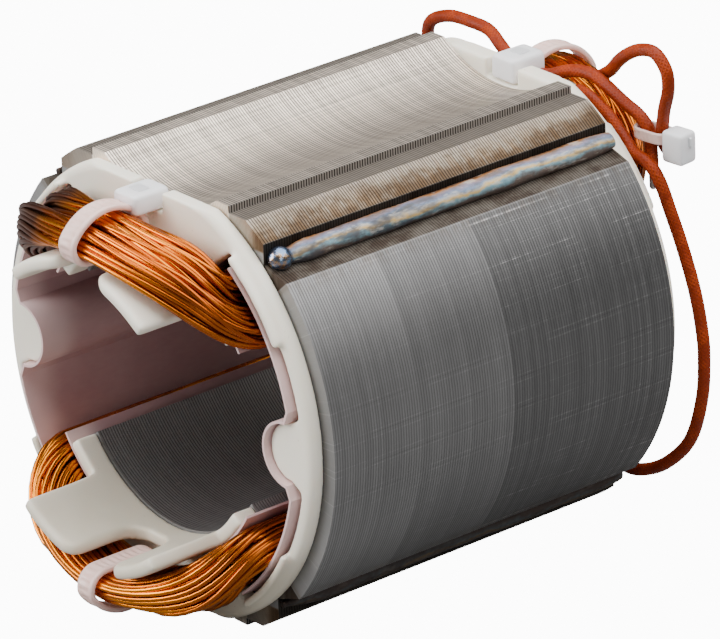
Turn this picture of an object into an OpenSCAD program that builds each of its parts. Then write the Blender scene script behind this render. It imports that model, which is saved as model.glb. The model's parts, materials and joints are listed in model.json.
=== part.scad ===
// Field assembly of a universal motor: a welded sheet steel stack with two poles,
// a plastic end frame on each face, two saddle coils, slot liners, ties and leads.
// Millimetres. X is to the right seen from the front, Y runs along the rotor axis from
// the front face to the lead side, Z is up along the pole axis.
// The origin is on the rotor axis, halfway along the stack.

/* [Lamination stack] */
// Length of the stack along the rotor axis
stack_length = 68; // [56:1:84]
// Diameter of the round sides
stack_diameter = 78; // [76:0.5:82]
// Depth of a coil slot from the back of a pole shoe to the yoke
slot_depth = 8.1; // [7.8:0.1:8.6]
// Distance of each land below the round outline
land_drop = 4.5; // [4:0.1:5]
// Width of each of the four lands
land_width = 3; // [2.5:0.1:3.5]
// Width of the hollow between two lands
hollow_width = 26.8; // [24:0.2:28]
// Depth of the hollow below the lands
hollow_depth = 4.4; // [3:0.1:4.6]
// Height of the step from a land down to the shoulder
shoulder_drop = 1.15; // [0.8:0.05:1.4]
// Width of the pole neck
neck_width = 24; // [22:0.5:25]
// Half angle of a pole shoe about the rotor axis
shoe_half_angle = 54.2; // [51:0.2:56]
// Thickness of a pole shoe
shoe_thickness = 2.5; // [2.3:0.1:2.8]
// Thickness of the yoke behind the coils
yoke_thickness = 5.4; // [5.2:0.1:6]

/* [Welds] */
// Angle from the pole axis to the wall of a weld groove
groove_angle = 38.4; // [37.5:0.1:40]
// Angle spanned by a weld groove
groove_span = 10.4; // [9.5:0.1:11]
// Height of the groove wall
groove_depth = 3.2; // [2.4:0.1:3.4]
// Radius of a weld bead in section
bead_radius = 1.75; // [1.6:0.05:1.9]
// Distance of a bead's axis from the groove wall
bead_side = 1; // [0.9:0.05:1.2]
// Height of a bead's axis above the groove corner
bead_lift = 0.7; // [0.5:0.05:0.9]
// Radius of the drop where one bead ends
drop_radius = 1.9; // [1.8:0.05:2]
// Distance of that drop from the front face
drop_inset = 2.2; // [2:0.1:4]

/* [End frames] */
// Distance of the frame's outline inside the round sides
frame_inset = 2.4; // [2:0.1:2.8]
// Thickness of the front frame's plate
front_plate = 2.6; // [2.2:0.1:3]
// Thickness of the rear frame's plate
rear_plate = 3.2; // [2.8:0.1:3.4]
// Radius of the plate's outer edge
plate_round = 1.4; // [0.8:0.1:1.8]
// Distance of the frame's flats below the lands
flat_drop = 0.9; // [0.5:0.1:1.2]
// Setback of plastic edges from the bore and the liners
frame_setback = 0.2; // [0.1:0.05:0.3]
// Setback of the plate's opening from the slot wall
rim_setback = 0.8; // [0.6:0.05:1]
// Angle by which a web at the rim stops short of the coil
web_short = 1; // [0.5:0.5:2]
// Height of the pole ends above the stack face
pole_end_height = 4; // [3.6:0.1:4.3]
// Length of a bore tongue from the stack face
tongue_length = 17.4; // [14:0.1:19]
// Angle from the pole axis to the near edge of a tongue
tongue_start = 9.5; // [8.5:0.5:12]
// Angle from the pole axis to the far edge of a tongue
tongue_end = 38.5; // [36:0.5:42]
// Corner radius of a tongue
tongue_round = 3; // [2:0.1:4]
// Radius of the fillets at the foot of a tongue
tongue_fillet = 3; // [1:0.1:3.5]
// Angle from the pole axis to the near end of a coil guard
guard_start = 36.5; // [34:0.5:38]
// Angle from the pole axis to the far end of a coil guard
guard_end = 60; // [56:0.5:63]
// Thickness of a coil guard
guard_thickness = 1.2; // [1:0.05:1.4]
// Height of a coil guard above the stack face
guard_height = 4; // [3.6:0.1:4.2]
// Reach of a side lobe inward from the frame's rim
lobe_reach = 7.3; // [6.2:0.1:7.6]
// Nose radius of a side lobe
lobe_radius = 4.8; // [4:0.1:5]
// Half height of a side lobe at the rim
lobe_base = 7; // [6:0.1:7.6]
// Width of the notch that takes a tie head
notch_width = 7.2; // [6.8:0.1:7.6]
// Depth of that notch below the flat
notch_depth = 3.2; // [2.9:0.1:3.3]

/* [Slot liners] */
// Thickness of the liner sheet
liner_thickness = 0.4; // [0.3:0.05:0.5]
// Length of liner that stands out of each stack face
liner_stand = 3.7; // [3.3:0.1:3.9]
// Angle by which a liner runs past the tip of a pole shoe
liner_flap = 4.3; // [2:0.1:4.6]
// Angle from the pole axis where the standing part of a liner begins
stand_start = 37; // [34:0.5:40]

/* [Coils] */
// Gap between a coil and the sheet round it
winding_gap = 0.2; // [0.15:0.05:0.35]
// Angle from the pole axis to the near side of a coil, at the yoke
coil_start = 35; // [30:0.5:38]
// Angle from the pole axis to the far side of a coil
coil_half_angle = 60; // [57:0.5:61]
// Distance of the innermost end turn from the stack face
turn_near = 4.8; // [4.7:0.1:5.4]
// Distance of the outermost end turn from the stack face
turn_far = 17.2; // [17:0.1:18]
// Length of the bend at each end of the innermost turn
bend_near = 1.6; // [1.2:0.1:1.7]
// Length of the bend at each end of the outermost turn
bend_far = 17; // [14:0.5:17]
// Drop of the coil's top over the pole, where a tie draws it in
dome_drop = 0.85; // [0.6:0.05:1.2]
// Radius of that domed section as a share of the end's half width
dome_spread = 1.17; // [1.1:0.01:1.3]
// Outward swell of the front end turns between the tie and the slots
coil_swell = 1.5; // [0.5:0.1:1.6]
// Corner radius of a coil's section
section_round = 3; // [2.9:0.05:3.2]
// Depth of the furrows between neighbouring wires
furrow_depth = 0.26; // [0.1:0.02:0.3]

/* [Ties] */
// Width of a coil tie's strap
strap_width = 3.6; // [3:0.1:4]
// Thickness of a strap
strap_thickness = 1.1; // [0.8:0.05:1.2]
// Bend radius of a coil tie's strap, outside
strap_bend = 2.4; // [2.2:0.1:2.6]
// Width of a coil tie's head
head_width = 5.6; // [4.6:0.1:6]
// Length of a coil tie's head outward from the stack face
head_length = 6.8; // [6:0.1:7.2]
// Height of an upper tie's head above its strap
head_rise = 0.4; // [0.2:0.1:0.8]
// Gap between a tie and the pieces round it
tie_gap = 0.2; // [0.15:0.05:0.3]
// Extra height of the rear upper tie, which holds a lead as well
lead_room = 1.2; // [1.1:0.05:1.4]
// Width of the strap that gathers the leads
lead_strap_width = 1.8; // [1.4:0.1:1.9]
// Thickness of that strap
lead_strap_thickness = 0.6; // [0.5:0.05:0.65]
// Inside length of that strap's loop
lead_loop_length = 5.8; // [5.7:0.05:6]
// Inside width of that strap's loop
lead_loop_width = 2.95; // [2.9:0.05:3.05]
// Length of that tie's head along the loop
lead_head_length = 4.2; // [3.4:0.1:4.6]
// Width of that tie's head across the loop
lead_head_width = 3.6; // [3:0.1:4]
// Height of that tie's head
lead_head_height = 5.2; // [4:0.1:5.4]
// Distance of that head's middle below the middle of the strap
lead_head_drop = 0.9; // [0:0.1:1]

/* [Leads] */
// Diameter of a sleeved lead
lead_diameter = 2.05; // [1.6:0.05:2.1]
// Diameter of a bare tinned end
tinned_diameter = 1.2; // [0.8:0.05:1.3]
// Length of a bare tinned end
tinned_length = 3; // [2:0.1:3.2]

/* [Hidden] */
$fn = 96;

steel = [0.55, 0.55, 0.57];
weld_steel = [0.62, 0.58, 0.52];
ivory = [0.88, 0.85, 0.80];
paper = [0.75, 0.60, 0.60];
copper = [0.72, 0.36, 0.12];
nylon = [0.88, 0.86, 0.88];
sleeve = [0.74, 0.27, 0.13];
tin = [0.75, 0.75, 0.76];

half_length = stack_length / 2;
stack_radius = stack_diameter / 2;
half_neck = neck_width / 2;
overcut = 1;
land_height = stack_radius - land_drop;
hollow_half = hollow_width / 2;
hollow_radius = (hollow_half * hollow_half + hollow_depth * hollow_depth) / (2 * hollow_depth);
land_end = hollow_half + land_width;
shoulder_height = land_height - shoulder_drop;
slot_radius = stack_radius - yoke_thickness;
shoe_back = slot_radius - slot_depth;
bore_radius = shoe_back - shoe_thickness;

// weld groove: wall, corner and the lip where the round side starts again
groove_wall = stack_radius * sin(groove_angle);
groove_floor = stack_radius * cos(groove_angle) - groove_depth;
lip_angle = groove_angle + groove_span;
lip = stack_radius * [sin(lip_angle), cos(lip_angle)];
corner = [groove_wall, groove_floor];
past_lip = lip + (lip - corner) * 0.6;
bead_centre = corner + [bead_side, bead_lift];

// end frames
frame_radius = stack_radius - frame_inset;
frame_flat = land_height - flat_drop;
rim_radius = slot_radius + rim_setback;
plastic_bore = bore_radius + frame_setback;
lobe_centre = rim_radius - lobe_reach + lobe_radius;
notch_floor = frame_flat - notch_depth;
guard_middle = rim_radius + guard_thickness / 2;
web_start = (plastic_bore + shoe_back) / 2;
web_foot = [half_neck, sqrt(shoe_back * shoe_back - half_neck * half_neck) + liner_thickness];
web_edge = rim_radius * [sin(coil_start - web_short), cos(coil_start - web_short)];
web_far = web_foot + 3 * (web_edge - web_foot);

// slot liners: a sheet on the shoe back, the neck and the yoke, bulged inward between the poles
liner_end = shoe_half_angle + liner_flap;
liner_length = stack_length + 2 * liner_stand;
liner_back = slot_radius - liner_thickness;
bulge_inner = lobe_radius + frame_setback;
bulge_outer = bulge_inner + liner_thickness;
bulge_side = lobe_base + frame_setback;
bulge_foot = [sqrt(slot_radius * slot_radius - bulge_side * bulge_side), bulge_side];

// coils: a saddle wound round each pole, its section a rounded block of wires
coil_inner = shoe_back + liner_thickness + winding_gap;
coil_outer = liner_back - winding_gap;
coil_middle = (coil_inner + coil_outer) / 2;
coil_half = (coil_outer - coil_inner) / 2;
coil_neck = half_neck + liner_thickness + winding_gap;
section_points = 48;
half_width = (turn_far - turn_near) / 2;
side_flat = coil_half - section_round;
top_flat = half_width - section_round;
section_arc = section_round * PI / 2;
bend_steps = 9;
near_end = half_length + turn_near;
far_end = half_length + turn_far;
dome_place = (near_end + far_end) / 2;
dome_radius = half_width * dome_spread;
dome_top = coil_outer - dome_drop;
dome_centre = dome_top - dome_radius;

// coil ties
loop_low = coil_inner - tie_gap;
loop_high = dome_top + tie_gap;
loop_near = near_end - tie_gap;
loop_far = far_end + tie_gap;

// tie that gathers the leads
lead_tie_place = [25.85, 0.55, 27];
lead_tie_turn = 6;
lead_loop_bend = 1.3;

// leads: routes from the coil outward, laid for one outer radius of the coils and moved with it;
// the middle number of each point is its distance behind the lead plane
route_radius = 33;
route_scale = coil_outer / route_radius;
lead_radius = lead_diameter / 2;
tinned_radius = tinned_diameter / 2;
lead_sides = 8;
lead_rear = half_length + 8;
upper_left_route = [
    [-25.4, 1.6, 21.6], [-27.2, 1.4, 24.8], [-27.8, 0.8, 28.4], [-25.7, 0, 31.7], [-21.3, 0, 33.6],
    [-16.5, 0, 34], [-12, 0, 33.8], [-8, -1, 32.6], [-4, -2, 31.3], [0, -2.3, 30.9],
    [4, -2, 31.2], [8.2, -0.7, 32.7], [11.8, 0, 33], [15.3, 0, 32.2], [19.8, 0, 30.4],
    [22.8, 0, 29.4], [24.5, 0.2, 27.9], [25.15, 0.3, 26.1], [25.6, 0.1, 23.8], [26.6, -0.7, 21.4]
];
upper_right_route = [
    [11.2, 2.8, 31.7], [14.2, 2.2, 33.7], [17.4, 1, 36.4], [20.4, 0.4, 38.6], [23.8, 0, 40.3],
    [27, 0, 40.6], [29.2, 0.2, 38.3], [29.5, 0.3, 35.2], [28.3, 0.5, 31.6], [27.6, 0.7, 28.6],
    [27.3, 0.9, 26.3], [27.1, 2, 24.3], [27, 4, 23]
];
lower_right_route = [
    [12.6, 0.6, -30.7], [16.8, 0.4, -31.8], [21.4, 0, -31.2], [27.4, 0, -28.2], [33.3, 0, -22.3],
    [36.2, 0, -14.5], [36.9, 0, -7.6], [36.5, 0, -2.6], [35, 0, 3.6], [32.9, -0.5, 10.5],
    [31.2, -1.4, 16.4], [30.2, -2, 20], [28.8, -2.4, 22.5], [26.6, -2.4, 23.6],
    [24.3, -2.4, 24.1], [21.6, -2.4, 26.5], [18.1, -2.4, 29], [14.6, -2.4, 30.5], [11.4, -2.3, 30.9]
];
lower_left_route = [
    [-12.6, 0.6, -30.7], [-17, 0.5, -31.6], [-22.6, 0.6, -29.2], [-27.4, 1, -24.6], [-30, 1.6, -18.4],
    [-31.2, 2.4, -11.6], [-31.8, 3, -4.6], [-31.8, 3.4, 2.4], [-31, 3.4, 8.4]
];

// Ring sector between two radii, angles measured from the pole axis toward +X.
module sector(inner, outer, from, to) {
    reach = 2 * outer;
    intersection() {
        difference() {
            circle(outer);
            circle(inner);
        }
        polygon([
            [0, 0],
            reach * [sin(from), cos(from)],
            reach * [sin((from + to) / 2), cos((from + to) / 2)],
            reach * [sin(to), cos(to)]
        ]);
    }
}

// Extrudes an outline drawn in X and Z along the rotor axis, centred on the origin.
module along_axis(length) {
    rotate([90, 0, 0]) linear_extrude(length, center = true) children();
}

// Repeats an outline below the rotor axis.
module both_poles() {
    children();
    mirror([0, 1]) children();
}

// Repeats an outline in all four quarters.
module four_quarters() {
    both_poles() {
        children();
        mirror([1, 0]) children();
    }
}

module pole_outline() {
    both_poles() {
        sector(0, shoe_back, -shoe_half_angle, shoe_half_angle);
        translate([-half_neck, 0]) square([neck_width, slot_radius]);
    }
}

module groove_outline() {
    polygon([corner, past_lip, [past_lip.x, stack_radius + overcut], [groove_wall, stack_radius + overcut]]);
}

module stack_outline() {
    difference() {
        intersection() {
            circle(stack_radius);
            square([2 * stack_radius, 2 * land_height], center = true);
        }
        four_quarters() translate([land_end, shoulder_height]) square(stack_radius);
        both_poles() translate([0, land_height - hollow_depth + hollow_radius]) circle(hollow_radius);
        four_quarters() groove_outline();
        difference() {
            circle(slot_radius);
            pole_outline();
        }
        circle(bore_radius);
    }
}

module lamination_stack() {
    color(steel) along_axis(stack_length) stack_outline();
}

// One bead in the upper right groove; the drop is only on the bead that has it.
module weld_bead(with_drop) {
    color(weld_steel) {
        along_axis(stack_length) intersection() {
            groove_outline();
            translate(bead_centre) circle(bead_radius);
        }
        if (with_drop) intersection() {
            along_axis(stack_length) groove_outline();
            translate([bead_centre.x, drop_inset - half_length, bead_centre.y]) sphere(drop_radius);
        }
    }
}

module upper_right_weld() {
    weld_bead(true);
}

module upper_left_weld() {
    mirror([1, 0, 0]) weld_bead(false);
}

module lower_right_weld() {
    mirror([0, 0, 1]) weld_bead(false);
}

module lower_left_weld() {
    rotate([0, 180, 0]) weld_bead(false);
}

module lobe_outline() {
    translate([lobe_centre, 0]) circle(lobe_radius);
    polygon([
        [lobe_centre, -lobe_radius], [rim_radius + overcut, -lobe_base],
        [rim_radius + overcut, lobe_base], [lobe_centre, lobe_radius]
    ]);
}

// Web from a pole end to the rim, as wide as the neck at first and widening beside the coil.
module web_outline() {
    polygon([
        [-half_neck, 0], [half_neck, 0], web_foot, web_far,
        [-web_far.x, web_far.y], [-web_foot.x, web_foot.y]
    ]);
}

// What the plate leaves open between its rim, its lobes and the webs that carry the pole ends.
module plate_opening() {
    difference() {
        circle(rim_radius);
        both_poles() web_outline();
        lobe_outline();
        mirror([1, 0]) lobe_outline();
    }
    circle(web_start);
}

// Tongue outline over X and the distance from the stack face, its foot filleted on both sides.
module tongue_outline() {
    near = shoe_back * sin(tongue_start);
    far = shoe_back * sin(tongue_end);
    foot = pole_end_height + tongue_fillet;
    translate([near, 0]) square([far - near, tongue_length - tongue_round]);
    translate([near + tongue_round, 0]) square([far - near - 2 * tongue_round, tongue_length]);
    for (x = [near + tongue_round, far - tongue_round])
        translate([x, tongue_length - tongue_round]) circle(tongue_round);
    difference() {
        translate([near - tongue_fillet, 0]) square([far - near + 2 * tongue_fillet, foot]);
        for (x = [near - tongue_fillet, far + tongue_fillet])
            translate([x, foot]) circle(tongue_fillet);
    }
}

// Pole ends, and on them the tongues: a shell on the bore cut to the outline seen from above.
module pole_ends() {
    linear_extrude(pole_end_height) both_poles()
        sector(plastic_bore, shoe_back, -shoe_half_angle, shoe_half_angle);
    intersection() {
        linear_extrude(tongue_length) both_poles()
            sector(plastic_bore, shoe_back, -tongue_end - overcut, tongue_end + overcut);
        rotate([90, 0, 0]) linear_extrude(2 * stack_radius, center = true) {
            tongue_outline();
            mirror([1, 0]) tongue_outline();
        }
    }
}

module guard_outline() {
    sector(rim_radius, rim_radius + guard_thickness, guard_start, guard_end);
    for (angle = [guard_start, guard_end])
        translate(guard_middle * [sin(angle), cos(angle)]) circle(guard_thickness / 2);
}

// Plate with its outer edge rounded, before the openings are cut.
module plate_blank(plate) {
    edge = min(plate_round, plate);
    intersection() {
        rotate_extrude() {
            square([frame_radius - edge, plate]);
            square([frame_radius, plate - edge]);
            translate([frame_radius - edge, plate - edge]) intersection() {
                circle(edge);
                square(edge);
            }
        }
        translate([-stack_radius, -frame_flat, -overcut])
            cube([2 * stack_radius, 2 * frame_flat, plate + 2 * overcut]);
    }
}

// Frame for the front face; the rear one is its mirror image.
module end_frame(plate) {
    color(ivory) translate([0, -half_length, 0]) rotate([90, 0, 0]) {
        difference() {
            plate_blank(plate);
            translate([0, 0, -overcut]) linear_extrude(plate + 2 * overcut) {
                plate_opening();
                both_poles() translate([-notch_width / 2, notch_floor]) square([notch_width, stack_radius]);
            }
        }
        linear_extrude(guard_height) four_quarters() guard_outline();
        pole_ends();
    }
}

module front_end_frame() {
    end_frame(front_plate);
}

module rear_end_frame() {
    mirror([0, 1, 0]) end_frame(rear_plate);
}

// Straight strip of sheet between two points, on the left of the way from one to the other.
module strip(from, to) {
    way = to - from;
    translate(from) rotate(atan2(way.y, way.x)) square([norm(way), liner_thickness]);
}

module liner_quarter() {
    nose = lobe_centre - bulge_outer;
    neck_in = sqrt(shoe_back * shoe_back - half_neck * half_neck);
    neck_out = sqrt(slot_radius * slot_radius - pow(half_neck + liner_thickness, 2));
    yoke_end = atan2(bulge_foot.x, bulge_foot.y);
    sector(shoe_back, shoe_back + liner_thickness, asin(half_neck / shoe_back), liner_end);
    translate([half_neck, neck_in]) square([liner_thickness, neck_out - neck_in]);
    sector(liner_back, slot_radius, asin(half_neck / liner_back), yoke_end);
    intersection() {
        strip([lobe_centre, bulge_inner], bulge_foot);
        circle(slot_radius);
    }
}

module liner_outline() {
    both_poles() liner_quarter();
    intersection() {
        translate([lobe_centre, 0]) difference() {
            circle(bulge_outer);
            circle(bulge_inner);
        }
        translate([lobe_centre - 2 * bulge_outer, -bulge_outer])
            square([2 * bulge_outer, 2 * bulge_outer]);
    }
}

// Liner for the right slot: as long as the stack near the necks, standing out beside the coils.
module slot_liner() {
    reach = 2 * slot_radius;
    edge = reach * [sin(stand_start), cos(stand_start)];
    color(paper) {
        along_axis(stack_length) liner_outline();
        along_axis(liner_length) intersection() {
            liner_outline();
            polygon([[0, 0], edge, [reach, 0], [edge.x, -edge.y]]);
        }
    }
}

module right_slot_liner() {
    slot_liner();
}

module left_slot_liner() {
    mirror([1, 0, 0]) slot_liner();
}

function mix(a, b, part) = a + (b - a) * part;

// Quarter of the section's outline, at a distance along it from the middle of the far side.
function outline_quarter(way) =
    way < side_flat ? [half_width, way]
    : way < side_flat + section_arc
        ? let (angle = (way - side_flat) / section_arc * 90)
            [half_width - section_round * (1 - cos(angle)), coil_half - section_round * (1 - sin(angle))]
    : [half_width - section_round - (way - side_flat - section_arc), coil_half];

// Section of a coil: across is 0 on the neck side and 1 on the far side, depth is -1 to 1.
function section_point(i) =
    let (count = section_points / 4, quarter = floor(i / count), part = (i % count) / count)
    let (way = (quarter % 2 == 0 ? part : 1 - part) * (side_flat + section_arc + top_flat))
    let (point = outline_quarter(way), dip = (i % 2) * furrow_depth)
    let (right = quarter == 0 || quarter == 3 ? 1 : -1, up = quarter < 2 ? 1 : -1)
    [(1 + right * (point.x - dip * point.x / half_width) / half_width) / 2,
     up * (point.y - dip * point.y / coil_half) / coil_half];

// Quarter of a turn unrolled onto the coil's middle radius: straight in the slot, then an ellipse.
function turn_quarter(half_turn, reach, bend) = concat(
    [[half_turn, 0]],
    [for (i = [0 : bend_steps]) let (angle = 90 * i / bend_steps)
        [half_turn * cos(angle), reach - bend * (1 - sin(angle))]]
);
quarter_count = bend_steps + 2;

// Share of the coil's depth that is left over the middle of the pole.
function dome_share(reach) =
    (dome_centre + sqrt(pow(dome_radius, 2) - pow(reach - dome_place, 2)) - coil_inner) / (2 * coil_half);

// Point of the coil for a step along the quarter, a place in the section and a swell.
function coil_point(step, place, swell) =
    let (near_angle = mix(asin(coil_neck / coil_inner), coil_start, (1 + place.y) / 2))
    let (half_turn = coil_middle * mix(near_angle, coil_half_angle, place.x) * PI / 180)
    let (reach = mix(near_end, far_end, place.x))
    let (turn = turn_quarter(half_turn, reach, mix(bend_near, bend_far, place.x))[step])
    let (drawn_in = 1 - pow(turn.x / half_turn, 2))
    let (swollen = pow(4 * drawn_in * (1 - drawn_in), 2) * swell / (2 * coil_half))
    let (share = mix(1, dome_share(reach), drawn_in) + swollen)
    let (radius = coil_inner + (1 + place.y) * coil_half * share)
    let (angle = turn.x / coil_middle * 180 / PI)
    [radius * sin(angle), turn.y, radius * cos(angle)];

// The four quarters in order round the pole, each with its signs and its steps.
coil_steps = concat(
    [for (i = [0 : quarter_count - 1]) [i, 1, 1]],
    [for (i = [quarter_count - 2 : -1 : 0]) [i, -1, 1]],
    [for (i = [1 : quarter_count - 1]) [i, -1, -1]],
    [for (i = [quarter_count - 2 : -1 : 1]) [i, 1, -1]]
);

module coil() {
    rings = len(coil_steps);
    points = [
        for (step = coil_steps) for (i = [0 : section_points - 1])
            let (point = coil_point(step[0], section_point(i), step[2] < 0 ? coil_swell : 0))
            [step[1] * point.x, step[2] * point.y, point.z]
    ];
    faces = [
        for (k = [0 : rings - 1]) for (i = [0 : section_points - 1])
            let (next = (k + 1) % rings, side = (i + 1) % section_points)
            let (a = k * section_points + i, b = k * section_points + side)
            let (c = next * section_points + side, d = next * section_points + i)
            each [[a, b, c], [a, c, d]]
    ];
    polyhedron(points, faces, convexity = 6);
}

module upper_coil() {
    color(copper) coil();
}

module lower_coil() {
    color(copper) rotate([0, 180, 0]) coil();
}

module rounded_block(low, high, bend) {
    size = high - low;
    translate(low + [bend, 0]) square(size - [2 * bend, 0]);
    translate(low + [0, bend]) square(size - [0, 2 * bend]);
    for (x = [low.x + bend, high.x - bend]) for (y = [low.y + bend, high.y - bend])
        translate([x, y]) circle(bend);
}

// Extrudes an outline drawn in Y and Z across X, centred on the origin.
module across(width) {
    rotate([90, 0, 90]) linear_extrude(width, center = true) children();
}

// Outline of a tie's loop over Y and Z, domed like the coil and grown outward by a wall;
// the room for a lead is at the top, on the side of the stack.
module loop_outline(room, wall) {
    low = [loop_near, loop_low] - [wall, wall];
    high = [loop_far, loop_high + room] + [wall, wall];
    intersection() {
        rounded_block(low, high, strap_bend - strap_thickness + wall);
        translate([dome_place - room, dome_centre + room / 2])
            circle(dome_radius + tie_gap + room / 2 + wall);
    }
}

// Tie round the rear end of the upper coil: strap, and a head that lies in the frame's notch.
module coil_tie(room, rise) {
    foot = notch_floor + tie_gap;
    top = loop_high + room + strap_thickness + rise;
    color(nylon) difference() {
        union() {
            across(strap_width) loop_outline(room, strap_thickness);
            translate([-head_width / 2, half_length + tie_gap, foot])
                cube([head_width, head_length, top - foot]);
        }
        across(head_width + 2 * overcut) loop_outline(room, 0);
    }
}

module rear_upper_tie() {
    coil_tie(lead_room, head_rise);
}

module front_upper_tie() {
    mirror([0, 1, 0]) coil_tie(0, head_rise);
}

module rear_lower_tie() {
    mirror([0, 0, 1]) coil_tie(0, 0);
}

module front_lower_tie() {
    rotate([180, 0, 0]) coil_tie(0, 0);
}

// Tie round two leads: a loop lying flat, its head at the far end of the loop.
module lead_tie() {
    inside = [lead_loop_length, lead_loop_width] / 2;
    wall = [lead_strap_thickness, lead_strap_thickness];
    color(nylon) translate(placed([lead_tie_place])[0]) rotate(lead_tie_turn) {
        linear_extrude(lead_strap_width, center = true) difference() {
            rounded_block(-inside - wall, inside + wall, lead_loop_bend + lead_strap_thickness);
            rounded_block(-inside, inside, lead_loop_bend);
        }
        translate([inside.x + lead_head_length / 2, 0, -lead_head_drop])
            cube([lead_head_length, lead_head_width, lead_head_height], center = true);
    }
}

function placed(route) = [
    for (point = route) [point.x * route_scale, point.y + lead_rear, point.z * route_scale]
];

function heading(path, i) =
    let (way = path[min(i + 1, len(path) - 1)] - path[max(i - 1, 0)])
    way / norm(way);

// Carries a sideways direction along the route, so the tube does not twist.
function carried(path, i, side) =
    let (ahead = heading(path, i))
    let (flat = side - ahead * (side * ahead))
    let (unit = flat / norm(flat))
    i == len(path) - 1 ? [unit] : concat([unit], carried(path, i + 1, unit));

module tube(path, radius) {
    sides = carried(path, 0, [0.3, 0.9, 0.2]);
    last = len(path) - 1;
    points = [
        for (i = [0 : last]) for (j = [0 : lead_sides - 1])
            let (turn = 360 * j / lead_sides, other = cross(heading(path, i), sides[i]))
            path[i] + radius * (cos(turn) * sides[i] + sin(turn) * other)
    ];
    around = [
        for (i = [0 : last - 1]) for (j = [0 : lead_sides - 1])
            let (k = (j + 1) % lead_sides, a = i * lead_sides, b = a + lead_sides)
            each [[a + j, b + j, b + k], [a + j, b + k, a + k]]
    ];
    ends = [
        [for (j = [0 : lead_sides - 1]) j],
        [for (j = [lead_sides - 1 : -1 : 0]) last * lead_sides + j]
    ];
    polyhedron(points, concat(around, ends), convexity = 6);
}

module lead(route) {
    color(sleeve) tube(placed(route), lead_radius);
}

// Bare end that carries on straight from the end of a lead.
module tinned_end(route) {
    path = placed(route);
    last = len(path) - 1;
    way = heading(path, last);
    color(tin) tube([path[last], path[last] + way * tinned_length], tinned_radius);
}

module upper_left_lead() {
    lead(upper_left_route);
}

module upper_right_lead() {
    lead(upper_right_route);
}

module lower_right_lead() {
    lead(lower_right_route);
}

module lower_left_lead() {
    lead(lower_left_route);
}

module upper_left_tinned_end() {
    tinned_end(upper_left_route);
}

module upper_right_tinned_end() {
    tinned_end(upper_right_route);
}

module lower_right_tinned_end() {
    tinned_end(lower_right_route);
}

module lower_left_tinned_end() {
    tinned_end(lower_left_route);
}

lamination_stack();
front_end_frame();
rear_end_frame();
upper_right_weld();
upper_left_weld();
lower_right_weld();
lower_left_weld();
left_slot_liner();
right_slot_liner();
upper_coil();
lower_coil();
front_upper_tie();
front_lower_tie();
rear_upper_tie();
rear_lower_tie();
lead_tie();
upper_left_lead();
upper_right_lead();
lower_right_lead();
lower_left_lead();
upper_left_tinned_end();
upper_right_tinned_end();
lower_right_tinned_end();
lower_left_tinned_end();
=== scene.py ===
import json
import math

import bmesh
import bpy
import numpy as np
from mathutils import Matrix


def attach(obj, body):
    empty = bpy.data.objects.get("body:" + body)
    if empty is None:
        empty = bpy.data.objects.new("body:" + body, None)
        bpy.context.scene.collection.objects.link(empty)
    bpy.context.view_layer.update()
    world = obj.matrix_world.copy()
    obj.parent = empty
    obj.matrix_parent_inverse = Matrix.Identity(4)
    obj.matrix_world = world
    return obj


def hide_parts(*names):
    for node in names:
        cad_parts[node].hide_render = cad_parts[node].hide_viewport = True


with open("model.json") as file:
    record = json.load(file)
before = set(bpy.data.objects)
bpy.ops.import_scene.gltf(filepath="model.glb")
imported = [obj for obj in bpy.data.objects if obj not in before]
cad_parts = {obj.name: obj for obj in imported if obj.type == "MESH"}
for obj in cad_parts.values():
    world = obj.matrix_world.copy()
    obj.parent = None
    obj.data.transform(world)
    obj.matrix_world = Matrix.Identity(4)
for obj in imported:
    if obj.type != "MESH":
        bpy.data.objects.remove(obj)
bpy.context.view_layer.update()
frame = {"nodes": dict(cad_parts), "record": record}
mm = 0.001
rng = np.random.default_rng(11)


def standing(right, up, back, spot):
    # the columns of the matrix are the three axes and the place
    axes = np.column_stack([right, up, back, spot])
    return Matrix([*axes.tolist(), [0, 0, 0, 1]])


view = {"azimuth": 50.611, "elevation": 23.365, "roll": -2.15, "distance": 1167.84,
        "focal": 7565.84, "across": 2.938, "lift": 0.679, "imageWidth": 720, "sensor": 36,
        "farthest": 20}


def placeCamera():
    # back points from the stator to the camera; right and up are turned about it by the roll
    a, e, r = (math.radians(view[key]) for key in ("azimuth", "elevation", "roll"))
    back = np.array([math.sin(a) * math.cos(e), -math.cos(a) * math.cos(e), math.sin(e)])
    right = np.array([math.cos(a), math.sin(a), 0])
    up = np.cross(back, right)
    right, up = math.cos(r) * right + math.sin(r) * up, math.cos(r) * up - math.sin(r) * right
    spot = (back * view["distance"] + right * view["across"] + up * view["lift"]) * mm
    lens = bpy.data.cameras.new("camera")
    lens.sensor_width = view["sensor"]
    lens.lens = view["sensor"] * view["focal"] / view["imageWidth"]
    lens.clip_end = view["farthest"]
    camera = bpy.data.objects.new("camera", lens)
    camera.matrix_world = standing(right, up, back, spot)
    bpy.context.collection.objects.link(camera)
    bpy.context.scene.camera = camera


placeCamera()
print("camera placed")


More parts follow.
